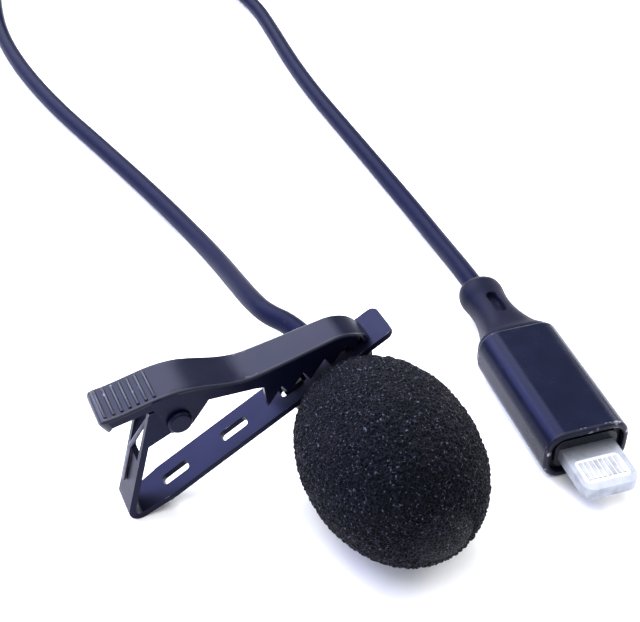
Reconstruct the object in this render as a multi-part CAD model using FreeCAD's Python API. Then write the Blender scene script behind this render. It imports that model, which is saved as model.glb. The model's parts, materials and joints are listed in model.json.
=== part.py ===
import FreeCAD, Part
import math
import os
from FreeCAD import Placement, Rotation, Vector

# Lavalier microphone on a sprung lapel clip, with a foam windscreen, a thin cable and a flat plug.
# Millimetres.  Row frame: +Z up from the surface it lies on, the microphone's front faces -Y, and
# +X runs from the clip's V bend towards the jaws' tips.

# ---- driving dimensions -------------------------------------------------------------------------
MIC_X = 9.14            # microphone axis, from the middle of the part's footprint
MIC_Y = 8.9             # middle plane of the clip
AXIS_Z = 9.3            # height of the microphone's axis, the windscreen rests on the surface

FOAM_R = 9.3            # windscreen, largest radius
FOAM_HALF = 12.9        # windscreen, half the length of its full egg shape
FOAM_MID_Y = -12.9      # windscreen, widest place along the axis
FOAM_REAR_Y = -3.1      # windscreen, flat rear face
FOAM_POWER = 2.25       # fullness of its outline, 2 is an ellipse
FOAM_BORE_DEPTH = 18.3

BARREL_R = 3.0          # capsule housing
BARREL_FRONT_Y = -20.5
NECK_R = 2.3            # turned neck that the holder grips
NECK_FRONT_Y = -3.4
NECK_REAR_Y = 4.6
BUSHING_END_Y = 8.0
RUN_GAP = 0.05          # running clearance of every moving fit

CLIP_TILT = 28.35       # degrees, the clip rises towards its tips
STRIP_T = 0.75          # lower jaw, sheet thickness
STRIP_LOW = 3.35        # lower jaw, outer face above the microphone's axis
STRIP_W = 4.7
STRIP_TIP = 8.5
BEND_OUT_R = 1.3        # V bend, outer radius
ARM_W = 3.9
ARM_ANGLE = 47.0        # degrees between the strip and the folded-back arm
ARM_LEN = 13.6
WINDOW_FROM = 6.8       # opening in the arm that the spring's leg passes, from the bend's end
WINDOW_HALF = 1.35
SLOT_PITCH = 8.1
SLOT_LEN = 3.4
SLOT_W = 1.4
SLOT_CORNER = 0.4
SLOT_COUNT = 4

PIN = (-15.13, 12.97)   # hinge rivet, along the strip and above the microphone's axis
PIN_R = 0.65
PIN_HEAD_R = 1.35
PIN_HEAD_T = 0.6
BOSS_R = 1.75           # round end of the hinge ears
JAW_T = 0.6             # upper jaw, sheet thickness
PAD_W = 5.4             # upper jaw, width at the thumb pad and ears
TOOTH_COUNT = 5
TOOTH_PITCH = 2.7
RIB_COUNT = 7

WIRE_R = 0.25           # spring wire
SPRING_R = 1.15         # spring coil, to the middle of the wire
SPRING_TURNS = 4
LEG_SIDE = 0.6          # how far each spring leg lies from the clip's middle plane

CABLE_R = 1.33
COIL_TURN_R = 14.6      # put-away coil, mean radius of its turns
COIL_COLUMNS = 4
COIL_LAYERS = 4
COIL_CENTRE = (10.6, 157.0)
TIE_T = 0.5
TIE_W = 6.0

PLUG_AT = (23.65, -16.17)   # middle of the plug's front rim, from the microphone's axis
PLUG_TURN = -6.8            # degrees, the plug points a little to the left of -Y
SHELL_W = 10.5
SHELL_H = 6.7
SHELL_CORNER = 2.5
SHELL_L = 19.0
SHELL_WALL = 0.75
TAB_W = 6.7
TAB_T = 1.5
TAB_L = 6.3
CONTACT_COUNT = 8
CONTACT_PITCH = 0.6
BOOT_END = 31.4             # rear face of the boot, behind the front rim
BOOT_FLARE = [(0, 10.1, 6.3), (0.8, 9.5, 6.0), (1.8, 8.1, 5.5), (3.2, 6.9, 5.1), (5.0, 5.9, 4.75),
              (6.8, 5.4, 4.6)]
BOOT_COLLAR = [(6.8, 5.4, 4.6), (8.6, 5.5, 4.65), (10.2, 5.8, 4.9), (11.4, 5.6, 4.7),
               (BOOT_END - SHELL_L, 5.0, 4.3)]
BOOT_SLOT = (4.3, 8.4)      # oblong recess in the boot's top, behind the shell

ROW = Placement(Vector(MIC_X, MIC_Y, 0), Rotation())
MIC = Placement(Vector(MIC_X, MIC_Y, AXIS_Z), Rotation())
CLIP = Placement(Vector(MIC_X, MIC_Y, AXIS_Z), Rotation(Vector(0, 1, 0), -CLIP_TILT))
PLUG = ROW.multiply(Placement(Vector(PLUG_AT[0], PLUG_AT[1], 0), Rotation(Vector(0, 0, 1), PLUG_TURN)))

STRIP_HIGH = STRIP_LOW + STRIP_T
BEND_IN_R = BEND_OUT_R - STRIP_T
TILT = math.radians(CLIP_TILT)
BEND_N = STRIP_LOW + BEND_OUT_R
# The V bend rests on the surface, which settles where it is along the strip.
BEND_U = -(AXIS_Z - BEND_OUT_R + BEND_N * math.cos(TILT)) / math.sin(TILT)
ARM = math.radians(ARM_ANGLE)


# ---- shape helpers ------------------------------------------------------------------------------
def prism_y(points, low, high):
    """Polygon of (along, above) points, carried from low to high across the clip."""
    ring = [Vector(u, low, n) for u, n in points]
    face = Part.Face(Part.makePolygon(ring + ring[:1]))
    return face.extrude(Vector(0, high - low, 0))


def prism_z(points, low, high):
    """Polygon of (x, y) points, carried from low to high."""
    ring = [Vector(x, y, low) for x, y in points]
    face = Part.Face(Part.makePolygon(ring + ring[:1]))
    return face.extrude(Vector(0, 0, high - low))


def rod_y(radius, low, high, at=(0.0, 0.0)):
    return Part.makeCylinder(radius, high - low, Vector(at[0], low, at[1]), Vector(0, 1, 0))


def turned(points):
    """Closed profile of (radius, y) points, turned about the Y axis."""
    ring = [Vector(r, y, 0) for r, y in points]
    face = Part.Face(Part.makePolygon(ring + ring[:1]))
    return face.revolve(Vector(), Vector(0, 1, 0), 360)


def block(x, y, z):
    """Box from three (low, high) pairs."""
    corner = Vector(x[0], y[0], z[0])
    return Part.makeBox(x[1] - x[0], y[1] - y[0], z[1] - z[0], corner)


def upright_edges(shape):
    found = []
    for edge in shape.Edges:
        start, end = edge.Vertexes[0].Point, edge.Vertexes[-1].Point
        if math.hypot(start.x - end.x, start.y - end.y) < 1e-6:
            found.append(edge)
    return found


def rounded_plate(x, y, z, radius):
    plate = block(x, y, z)
    return plate.makeFillet(radius, upright_edges(plate))


def housing_bar(inset, low, high):
    """Round-cornered bar along Y with the plug housing's section, made smaller all round by the inset."""
    half = SHELL_W / 2 - inset
    bar = block((-half, half), (low, high), (inset, SHELL_H - inset))
    corners = [edge for edge in bar.Edges if edge.BoundBox.YLength > (high - low) / 2]
    return bar.makeFillet(SHELL_CORNER - inset, corners)


def mirrored_y(shape):
    return shape.mirror(Vector(), Vector(0, 1, 0))


def one_solid(shape):
    solids = shape.removeSplitter().Solids
    if len(solids) != 1:
        raise ValueError("expected one solid, found %d" % len(solids))
    return solids[0]


def down_from(line, depth):
    """The same line, moved square to its own direction by depth."""
    moved = []
    last = len(line) - 1
    for i, (u, n) in enumerate(line):
        before = line[max(i - 1, 0)]
        after = line[min(i + 1, last)]
        run = Vector(after[0] - before[0], after[1] - before[1], 0).normalize()
        moved.append((u + run.y * depth, n - run.x * depth))
    return moved


# ---- microphone ---------------------------------------------------------------------------------
def foam_radius(y):
    reach = min(abs(y - FOAM_MID_Y) / FOAM_HALF, 1.0)
    return FOAM_R * (1 - reach ** FOAM_POWER) ** (1 / FOAM_POWER)


def foam_windscreen():
    """Egg of foam, flat at the rear, with a bore for the capsule housing."""
    front = FOAM_MID_Y - FOAM_HALF
    steps = 14
    span = FOAM_REAR_Y - front
    curve = []
    for i in range(steps + 1):
        y = front + span * (1 - math.cos(math.pi * 0.5 * i / steps))
        curve.append(Vector(foam_radius(y), y, 0))
    outline = Part.BSplineCurve()
    outline.interpolate(curve)
    rear = Part.makeLine(curve[-1], Vector(0, FOAM_REAR_Y, 0))
    axis = Part.makeLine(Vector(0, FOAM_REAR_Y, 0), curve[0])
    face = Part.Face(Part.Wire([outline.toShape(), rear, axis]))
    egg = face.revolve(Vector(), Vector(0, 1, 0), 360)
    return egg.cut(rod_y(BARREL_R + RUN_GAP, FOAM_REAR_Y - FOAM_BORE_DEPTH, FOAM_REAR_Y + 1))


CAPSULE_R = 2.45
CAPSULE_BORE = 2.55
LEAD_BORE = 1.5


def capsule_barrel():
    """Turned housing: a wide front for the capsule and a neck for the holder."""
    return turned([
        (CAPSULE_BORE, BARREL_FRONT_Y), (BARREL_R, BARREL_FRONT_Y), (BARREL_R, NECK_FRONT_Y - 0.4),
        (BARREL_R - 0.4, NECK_FRONT_Y), (NECK_R, NECK_FRONT_Y), (NECK_R, NECK_REAR_Y),
        (LEAD_BORE, NECK_REAR_Y), (LEAD_BORE, BARREL_FRONT_Y + 6.5), (CAPSULE_BORE, BARREL_FRONT_Y + 6.5),
    ])


def mic_grille():
    """Shallow cap over the capsule, drilled with two rings of holes round a middle one."""
    front = BARREL_FRONT_Y - 0.7
    cap = turned([
        (0, front), (2.4, front), (BARREL_R, front + 0.4), (BARREL_R, BARREL_FRONT_Y), (0, BARREL_FRONT_Y),
    ])
    for radius, count in ((0.0, 1), (1.0, 6), (1.95, 12)):
        for i in range(count):
            turn = 2 * math.pi * i / count
            place = (radius * math.cos(turn), radius * math.sin(turn))
            cap = cap.cut(rod_y(0.25, front - 1, BARREL_FRONT_Y + 1, place))
    return cap


def capsule_gasket():
    return turned([(1.8, -20.45), (CAPSULE_R, -20.45), (CAPSULE_R, -20.05), (1.8, -20.05)])


def electret_capsule():
    """Sealed can with a sound port in its front."""
    can = turned([(0, -20.0), (2.2, -20.0), (CAPSULE_R, -19.75), (CAPSULE_R, -17.0), (0, -17.0)])
    return can.cut(rod_y(0.5, -21.0, -19.5))


def capsule_board():
    board = rod_y(2.2, -16.95, -16.35)
    for side in (-1, 1):
        board = board.cut(rod_y(0.2, -17.5, -16.0, (side * 0.8, 0)))
    return board


def capsule_lead(side):
    return rod_y(0.35, -16.35, NECK_REAR_Y - 0.8, (side * 0.6, 0))


def tail_bushing():
    """Short tapered strain relief with a spigot in the barrel's rear bore."""
    return turned([
        (0, NECK_REAR_Y - 0.8), (LEAD_BORE, NECK_REAR_Y - 0.8), (LEAD_BORE, NECK_REAR_Y),
        (NECK_R, NECK_REAR_Y), (NECK_R, NECK_REAR_Y + 0.6), (1.7, BUSHING_END_Y), (0, BUSHING_END_Y),
    ])


def mic_holder():
    """C ring round the barrel's neck, with a foot hooked into two slots of the strip."""
    ring = rod_y(3.05, -2.2, 2.2)
    foot = rounded_plate((-5.3, 5.3), (-2.55, 2.55), (STRIP_LOW - 0.8, STRIP_LOW), 1.1)
    holder = ring.fuse(foot)
    for side in (-1, 1):
        hook = side * SLOT_PITCH / 2
        peg = block((hook - 1.2, hook + 1.2), (-0.5, 0.5), (STRIP_LOW - 0.2, STRIP_HIGH + 0.3))
        holder = holder.fuse(peg)
    holder = holder.cut(rod_y(NECK_R + RUN_GAP, -5, 5))
    return one_solid(holder.cut(block((-1.2, 1.2), (-5, 5), (-5, -1))))


# ---- clip ---------------------------------------------------------------------------------------
def arm_point(along, inwards=0.0):
    """Point on the folded-back arm, measured from the bend's end along its outer face."""
    out = Vector(-math.sin(ARM), math.cos(ARM), 0)
    run = Vector(math.cos(ARM), math.sin(ARM), 0)
    at = Vector(BEND_U, BEND_N, 0) + out * (BEND_OUT_R - inwards) + run * along
    return at.x, at.y


def bend_point(radius, degrees):
    turn = math.radians(degrees)
    return Vector(BEND_U + radius * math.cos(turn), 0, BEND_N + radius * math.sin(turn))


def fold_sheet():
    """V bend and arm as one bent sheet, as wide as the arm."""
    end_turn = 90 + ARM_ANGLE
    half_turn = (270 + end_turn) / 2
    outer_end = arm_point(ARM_LEN)
    inner_end = arm_point(ARM_LEN, STRIP_T)
    outer = Vector(outer_end[0], 0, outer_end[1])
    inner = Vector(inner_end[0], 0, inner_end[1])
    edges = [
        Part.Arc(*[bend_point(BEND_OUT_R, a) for a in (270, half_turn, end_turn)]).toShape(),
        Part.makeLine(bend_point(BEND_OUT_R, end_turn), outer),
        Part.makeLine(outer, inner),
        Part.makeLine(inner, bend_point(BEND_IN_R, end_turn)),
        Part.Arc(*[bend_point(BEND_IN_R, a) for a in (end_turn, half_turn, 270)]).toShape(),
        Part.makeLine(bend_point(BEND_IN_R, 270), bend_point(BEND_OUT_R, 270)),
    ]
    sheet = Part.Face(Part.Wire(edges)).extrude(Vector(0, ARM_W, 0))
    sheet.translate(Vector(0, -ARM_W / 2, 0))
    return sheet


def lower_strip():
    """Long flat of the lower jaw: square to the bend's width at one end, rounded at the tip."""
    side = STRIP_W / 2
    plate = rounded_plate((BEND_U + 2.5, STRIP_TIP), (-side, side), (STRIP_LOW, STRIP_HIGH), 1.0)
    neck = [(BEND_U, ARM_W / 2), (BEND_U + 4.0, side), (BEND_U + 4.0, -side), (BEND_U, -ARM_W / 2)]
    strip = plate.fuse(prism_z(neck, STRIP_LOW, STRIP_HIGH))
    for i in range(SLOT_COUNT):
        centre = SLOT_PITCH * (1.5 - i) - SLOT_PITCH
        ends = (centre - SLOT_LEN / 2, centre + SLOT_LEN / 2)
        slot = rounded_plate(ends, (-SLOT_W / 2, SLOT_W / 2), (STRIP_LOW - 1, STRIP_HIGH + 1), SLOT_CORNER)
        strip = strip.cut(slot)
    return strip


def lower_ear():
    """Side ear that turns off the arm's edge and carries the rivet."""
    top = ARM_W / 2
    points = [
        arm_point(8.6, 0.1), arm_point(ARM_LEN), (PIN[0] + 0.6, PIN[1] + 1.6), (PIN[0] - 0.4, PIN[1] - 1.7),
    ]
    ear = prism_y(points, top - 0.6, top)
    return ear.fuse(rod_y(BOSS_R, top - 0.6, top, PIN))


def lower_jaw():
    jaw = lower_strip().fuse(fold_sheet())
    window = [arm_point(along, depth) for along, depth in (
        (WINDOW_FROM, -1), (ARM_LEN + 1, -1), (ARM_LEN + 1, 2), (WINDOW_FROM, 2))]
    jaw = jaw.cut(prism_y(window, -WINDOW_HALF, WINDOW_HALF))
    ear = lower_ear()
    jaw = jaw.fuse(ear).fuse(mirrored_y(ear))
    return one_solid(jaw.cut(rod_y(PIN_R, -5, 5, PIN)))


RIDGE = [(-20.6, 19.1), (-17.2, 17.85), (-13.7, 16.6), (-11.6, 15.25), (-9.2, 13.05), (-7.0, 11.4),
         (-4.4, 10.35), (0.0, 8.9), (2.6, 8.05)]
PAD_MID = (-21.25, 18.9)
PAD_END = (-21.45, 18.3)  # the pad's free end curls down
PAD_CORNER = 1.0         # rounding of that end, seen from above
NOSE_MID = (4.95, 6.55)
NOSE_END = (6.0, 4.4)
NOSE_TOOTH = 5.3         # where the nose's own blunt tooth ends
NOSE_CORNER = 1.2        # rounding of the nose, seen from above
TOP_EDGE = 0.3           # rounding of the long top edges
TOOTH_TOP = 1.15
FIRST_TOOTH = (-7.3, 6.2)
TOOTH_FALL = 0.15        # how much the row of teeth drops towards the tip, per millimetre


def tooth_line():
    """Saw teeth from the nose back to the first one: a slant up, then straight down to a point."""
    points = []
    for i in reversed(range(TOOTH_COUNT)):
        u = FIRST_TOOTH[0] + TOOTH_PITCH * i
        n = FIRST_TOOTH[1] - TOOTH_PITCH * i * TOOTH_FALL
        points.append((min(u + TOOTH_PITCH - 0.15, NOSE_TOOTH - 0.1), n + TOOTH_TOP))
        points.append((u, n))
    return points


def ridge_curve(drop):
    """Smooth line of the upper jaw's top, lowered by a drop."""
    curve = Part.BSplineCurve()
    curve.interpolate([Vector(u, 0, n - drop) for u, n in RIDGE])
    return curve


def jaw_side():
    """Side view of the upper jaw, ears and teeth included."""
    nose = [Vector(RIDGE[-1][0], 0, RIDGE[-1][1]), Vector(NOSE_MID[0], 0, NOSE_MID[1]),
            Vector(NOSE_END[0], 0, NOSE_END[1])]
    below = [NOSE_END, (NOSE_TOOTH, NOSE_END[1] + 0.05)] + tooth_line() + [
        (-6.3, 8.9), (-7.1, 9.6), (-11.4, 12.75), (PIN[0] + 0.85, PIN[1] - 1.53),
        (PIN[0] - 0.3, PIN[1] - BOSS_R), (PIN[0] - 1.5, PIN[1] - 0.9), (-16.3, 16.3), (-20.5, 17.75),
        (-21.2, 17.3), PAD_END,
    ]
    curl = [Vector(u, 0, n) for u, n in (PAD_END, PAD_MID, RIDGE[0])]
    edges = [ridge_curve(0).toShape(), Part.Arc(*nose).toShape(),
             Part.makePolygon([Vector(u, 0, n) for u, n in below]), Part.Arc(*curl).toShape()]
    outline = Part.Wire([edge for part in edges for edge in part.Edges])
    return Part.Face(outline)


def jaw_plan(inset):
    """Top view of the upper jaw, wide over the ears and narrow and rounded at the nose."""
    end = NOSE_END[0] - inset
    start = PAD_END[0] + inset
    half = [(start, PAD_W / 2), (-12.0, PAD_W / 2), (-7.0, 2.35), (3.0, 1.95), (end, 1.85)]
    near = [(u, y - inset) for u, y in half]
    far = [(u, inset - y) for u, y in reversed(half)]
    plan = prism_z(near + far, -5, 25)
    nose = [edge for edge in upright_edges(plan) if edge.CenterOfMass.x > end - 0.1]
    rounded = plan.makeFillet(NOSE_CORNER - inset, nose)
    pad = [edge for edge in upright_edges(rounded) if edge.CenterOfMass.x < start + 0.1]
    return rounded.makeFillet(PAD_CORNER - inset, pad)


def top_edges(body):
    """Edges that run along the upper jaw's top, where it meets its two sides."""
    ridge = ridge_curve(0).toShape()
    found = []
    for edge in body.Edges:
        middle = edge.valueAt((edge.FirstParameter + edge.LastParameter) / 2)
        gap = ridge.distToShape(Part.Vertex(Vector(middle.x, 0, middle.z)))[0]
        if gap < 0.01 and edge.Length > PAD_W:
            found.append(edge)
    return found


def upper_jaw():
    """Pressed channel: a ridged thumb pad, two ears for the rivet and toothed flanges."""
    body = jaw_side().extrude(Vector(0, PAD_W, 0))
    body.translate(Vector(0, -PAD_W / 2, 0))
    body = body.common(jaw_plan(0))
    body = body.makeFillet(TOP_EDGE, top_edges(body))
    roof = down_from(RIDGE + [NOSE_MID], JAW_T)
    roof[0] = (-20.55, roof[0][1])
    hollow = prism_y([(-20.55, -3)] + roof + [(roof[-1][0] + 0.3, -3)], -4, 4).common(jaw_plan(JAW_T))
    jaw = body.cut(hollow)
    ridge = ridge_curve(0.08)
    for i in range(RIB_COUNT):
        along = -20.4 + 0.85 * i
        spot = ridge.intersect(Part.Line(Vector(along, 0, 0), Vector(along, 0, 1)))[0]
        jaw = jaw.fuse(rod_y(0.22, -2.1, 2.1, (spot.X, spot.Z)))
    return one_solid(jaw.cut(rod_y(PIN_R + RUN_GAP, -5, 5, PIN)))


def hinge_pin():
    """Rivet through both pairs of ears, with a bevelled head on each side."""
    reach = PAD_W / 2 + RUN_GAP
    pin = rod_y(PIN_R, -reach, reach, PIN)
    for side in (-1, 1):
        base = Vector(PIN[0], side * reach, PIN[1])
        head = Part.makeCylinder(PIN_HEAD_R, PIN_HEAD_T, base, Vector(0, side, 0))
        face_y = side * (reach + PIN_HEAD_T)
        outer = [edge for edge in head.Edges if abs(edge.CenterOfMass.y - face_y) < 1e-6]
        pin = pin.fuse(head.makeChamfer(0.2, outer))
    return one_solid(pin)


def wire_run(points):
    """Round spring wire along straight runs with a ball at every corner."""
    wire = Part.makeSphere(WIRE_R, points[0])
    for start, end in zip(points, points[1:]):
        run = end - start
        wire = wire.fuse(Part.makeCylinder(WIRE_R, run.Length, start, run))
        wire = wire.fuse(Part.makeSphere(WIRE_R, end))
    return wire


def torsion_spring():
    """Coil round the rivet with one leg under the thumb pad and one on the arm."""
    width = SPRING_TURNS * 2 * WIRE_R
    body = rod_y(SPRING_R + WIRE_R, -width / 2, width / 2, PIN)
    body = body.cut(rod_y(SPRING_R - WIRE_R, -width, width, PIN))
    above = -WIRE_R - 0.02
    pad_leg = [(PIN[0] - 0.55, PIN[1] + 0.95), (-19.3, 17.5)]
    arm_leg = [(PIN[0] - 0.75, PIN[1] + 0.75), arm_point(WINDOW_FROM + 0.4, above), arm_point(2.6, above)]
    for side, leg in ((LEG_SIDE, pad_leg), (-LEG_SIDE, arm_leg)):
        body = body.fuse(wire_run([Vector(u, side, n) for u, n in leg]))
    return one_solid(body)


# ---- plug ---------------------------------------------------------------------------------------
def front_rim(shape):
    return [edge for edge in shape.Edges if abs(edge.CenterOfMass.y) < 1e-6 and edge.BoundBox.YLength < 1e-6]


def plug_shell():
    """Flat housing with rounded sides, open at the front, with a hole for the boot's neck."""
    solid = housing_bar(0, 0, SHELL_L)
    ends = [edge for edge in solid.Edges if edge.BoundBox.YLength < 1e-6]
    shell = solid.makeFillet(0.45, ends)
    shell = shell.cut(housing_bar(SHELL_WALL, -1, SHELL_L - 1.0))
    return one_solid(shell.cut(rod_y(1.9, SHELL_L - 2, SHELL_L + 1, (0, SHELL_H / 2))))


def tab_slot(low, high):
    half = TAB_W / 2
    mid = SHELL_H / 2
    return block((-half, half), (low, high), (mid - TAB_T / 2, mid + TAB_T / 2))


def plug_insert():
    """Dark face plate set back in the rim, with a raised frame round the tab."""
    plate = housing_bar(SHELL_WALL, 0.9, 3.5).fuse(housing_bar(SHELL_WALL + 0.65, 0.35, 0.9))
    return one_solid(plate.cut(tab_slot(-1, 5)))


def tab_pocket(low_z, high_z):
    return rounded_plate((-2.75, 2.75), (1.0 - TAB_L, -1.7), (low_z, high_z), 0.6)


def tab_frame():
    """Metal tab with rounded front corners and a shallow pocket in each face."""
    half = TAB_W / 2
    mid = SHELL_H / 2
    tab = block((-half, half), (-TAB_L, 4.4), (mid - TAB_T / 2, mid + TAB_T / 2))
    corners = [edge for edge in upright_edges(tab) if edge.CenterOfMass.y < 0]
    tab = tab.makeFillet(1.3, corners)
    return tab.cut(tab_pocket(mid + 0.3, mid + 1)).cut(tab_pocket(mid - 1, mid - 0.3))


def contact_carrier(side):
    """Insulating plate in one pocket of the tab."""
    mid = SHELL_H / 2
    face = TAB_T / 2 - 0.05
    low, high = sorted((mid + side * 0.3, mid + side * face))
    return tab_pocket(low, high)


def contact_pad(side, number):
    mid = SHELL_H / 2
    face = TAB_T / 2 - 0.05
    low, high = sorted((mid + side * face, mid + side * (face + 0.08)))
    x = (number - (CONTACT_COUNT - 1) / 2) * CONTACT_PITCH
    return block((x - 0.2, x + 0.2), (1.5 - TAB_L, -2.2), (low, high))


BOARD_Z = SHELL_H / 2 - 0.4


def plug_board():
    return block((-3.8, 3.8), (4.4, 16.4), (BOARD_Z, BOARD_Z + 0.8))


def converter_chip():
    return block((-1.7, 1.7), (7.4, 10.8), (BOARD_Z + 0.8, BOARD_Z + 1.6))


def capacitor(side):
    return block((side * 2.6 - 0.45, side * 2.6 + 0.45), (12.2, 13.9), (BOARD_Z + 0.8, BOARD_Z + 1.5))


def board_cradle():
    """Plastic tray that holds the board off the shell's floor."""
    return block((-1.9, 1.9), (4.5, 16.0), (SHELL_WALL, BOARD_Z))


def ellipse_at(y, wide, high):
    curve = Part.Ellipse(Vector(0, y, SHELL_H / 2), wide / 2, high / 2)
    edge = curve.toShape()
    edge.rotate(Vector(0, y, SHELL_H / 2), Vector(1, 0, 0), 90)
    return Part.Wire([edge])


def boot_loft(sections):
    """Loft through (behind the shell, width, height) sections."""
    rings = [ellipse_at(SHELL_L + behind, wide, high) for behind, wide, high in sections]
    return Part.makeLoft(rings, True, False)


def plug_boot():
    """Soft boot: a flare at the shell, a slim waist and a collar round the cable."""
    flare = boot_loft(BOOT_FLARE)
    collar = boot_loft(BOOT_COLLAR)
    neck = rod_y(1.85, SHELL_L - 1.5, SHELL_L + 1, (0, SHELL_H / 2))
    boot = flare.fuse(collar).fuse(neck)
    ends = [SHELL_L + end for end in BOOT_SLOT]
    slot = rounded_plate((-0.75, 0.75), ends, (SHELL_H / 2 + 1.6, SHELL_H), 0.6)
    return one_solid(boot.cut(slot))


# ---- cable --------------------------------------------------------------------------------------
# Routes are measured from the microphone's axis, height from the surface.
COIL_BASE = CABLE_R + TIE_T
LAYER_RISE = 2 * CABLE_R * 0.87
COIL_OUT_R = COIL_TURN_R + CABLE_R * (COIL_COLUMNS - 1)
COIL_RIM = COIL_OUT_R + CABLE_R
COIL_TOP = COIL_BASE + (COIL_LAYERS - 1) * LAYER_RISE
TANGENT_Y = COIL_CENTRE[1] - 7.0

MIC_ROUTE = [
    (0.0, 8.0, 9.3), (-0.6, 11.4, 9.3), (-2.3, 15.5, 8.6), (-2.5, 20.0, 7.6), (-2.2, 26.0, 6.0),
    (-1.8, 34.0, 4.0), (-2.0, 44.0, 2.1), (-3.5, 56.0, 1.4), (-6.8, 73.0, 1.35), (-10.2, 89.0, 1.35),
    (-12.2, 105.0, 1.4), (-12.4, 119.0, 1.4), (-11.0, 131.0, 1.6), (-8.8, 141.0, 1.8),
    (-8.0, TANGENT_Y, COIL_BASE),
]
PLUG_ROUTE = [
    (27.37, 15.01, 3.35), (27.9, 19.5, 3.1), (29.0, 27.0, 1.9), (29.8, 36.0, 1.4), (30.2, 46.0, 1.35),
    (30.65, 60.0, 1.35), (31.0, 74.0, 1.35), (32.0, 87.0, 1.35), (33.7, 100.0, 1.4), (34.9, 111.0, 1.5),
    (33.4, 122.0, 2.1), (31.0, 132.0, 3.9), (29.6, 141.0, 6.4), (29.2, TANGENT_Y, COIL_TOP),
]


def tube_path(points):
    """Straight runs joined by tangent arcs, the arcs as large as the runs allow."""
    corners = [Vector(*p) for p in points]
    edges = []
    radii = []
    at = corners[0]
    for before, corner, after in zip(corners, corners[1:], corners[2:]):
        back = (before - corner).normalize()
        ahead = (after - corner).normalize()
        reach = 0.45 * min((before - corner).Length, (after - corner).Length)
        radius = reach / math.tan((math.pi - back.getAngle(ahead)) / 2)
        inward = (back + ahead).normalize()
        middle = corner + inward * (math.hypot(radius, reach) - radius)
        start = corner + back * reach
        end = corner + ahead * reach
        edges.append(Part.LineSegment(at, start).toShape())
        edges.append(Part.Arc(start, middle, end).toShape())
        radii.append(radius)
        at = end
    edges.append(Part.LineSegment(at, corners[-1]).toShape())
    return Part.Wire(edges), radii


def cable_run(name, points):
    """Plain tube along a route; prints its radii, length and volume."""
    path, radii = tube_path(points)
    start = Vector(*points[0])
    circle = Part.Wire([Part.makeCircle(CABLE_R, start, Vector(*points[1]) - start)])
    tube = path.makePipeShell([circle], True, False)
    expected = math.pi * CABLE_R ** 2 * path.Length
    print(name, "radii", [round(r, 1) for r in radii], "length %.1f" % path.Length,
          "volume %.1f of %.1f" % (tube.Volume, expected))
    return tube


def coil_turns():
    """Radius of every turn: full layers and nested ones take it in turns."""
    radii = []
    for layer in range(COIL_LAYERS):
        count = COIL_COLUMNS - layer % 2
        for i in range(count):
            radii.append(COIL_TURN_R + 2 * CABLE_R * (i - (count - 1) / 2))
    return radii


def cable_coil():
    """Closed ring that holds all the wound turns."""
    inner = COIL_TURN_R * 2 - COIL_RIM
    low = TIE_T
    high = COIL_TOP + CABLE_R
    ring = Part.makeCylinder(COIL_RIM, high - low, Vector(0, 0, low))
    ring = ring.cut(Part.makeCylinder(inner, high, Vector()))
    ring = ring.makeFillet(CABLE_R, [edge for edge in ring.Edges if len(edge.Vertexes) == 1])
    ring.translate(Vector(COIL_CENTRE[0], COIL_CENTRE[1], 0))
    length = sum(2 * math.pi * r for r in coil_turns())
    print("coil turns", len(coil_turns()), "length %.1f" % length)
    return ring


def cable_tie():
    """Flat band round the coil's section, on its far side."""
    low_r = COIL_TURN_R * 2 - COIL_RIM
    high = COIL_TOP + CABLE_R
    gap = 0.02
    outer = block((-TIE_W / 2, TIE_W / 2), (low_r - TIE_T - 1, COIL_RIM + TIE_T), (0, high + TIE_T))
    inner = block((-TIE_W, TIE_W), (low_r - 1 - gap, COIL_RIM + gap), (TIE_T - gap, high + gap))
    band = outer.cut(inner)
    band.translate(Vector(COIL_CENTRE[0], COIL_CENTRE[1], 0))
    return band


# ---- the assembly -------------------------------------------------------------------------------
def all_parts():
    """Every sub-part by name, placed in the row frame."""
    parts = {
        "foam_windscreen": (MIC, foam_windscreen()),
        "capsule_barrel": (MIC, capsule_barrel()),
        "mic_grille": (MIC, mic_grille()),
        "capsule_gasket": (MIC, capsule_gasket()),
        "electret_capsule": (MIC, electret_capsule()),
        "capsule_board": (MIC, capsule_board()),
        "lead_signal": (MIC, capsule_lead(1)),
        "lead_ground": (MIC, capsule_lead(-1)),
        "tail_bushing": (MIC, tail_bushing()),
        "mic_holder": (CLIP, mic_holder()),
        "lower_jaw": (CLIP, lower_jaw()),
        "upper_jaw": (CLIP, upper_jaw()),
        "hinge_pin": (CLIP, hinge_pin()),
        "torsion_spring": (CLIP, torsion_spring()),
        "plug_shell": (PLUG, plug_shell()),
        "plug_insert": (PLUG, plug_insert()),
        "tab_frame": (PLUG, tab_frame()),
        "contact_carrier_top": (PLUG, contact_carrier(1)),
        "contact_carrier_bottom": (PLUG, contact_carrier(-1)),
        "plug_board": (PLUG, plug_board()),
        "converter_chip": (PLUG, converter_chip()),
        "capacitor_left": (PLUG, capacitor(-1)),
        "capacitor_right": (PLUG, capacitor(1)),
        "board_cradle": (PLUG, board_cradle()),
        "plug_boot": (PLUG, plug_boot()),
        "cable_mic_side": (ROW, cable_run("mic side", MIC_ROUTE)),
        "cable_plug_side": (ROW, cable_run("plug side", PLUG_ROUTE)),
        "cable_coil": (ROW, cable_coil()),
        "cable_tie": (ROW, cable_tie()),
    }
    for number in range(CONTACT_COUNT):
        parts["contact_top_%d" % (number + 1)] = (PLUG, contact_pad(1, number))
        parts["contact_bottom_%d" % (number + 1)] = (PLUG, contact_pad(-1, number))
    return parts


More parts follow.
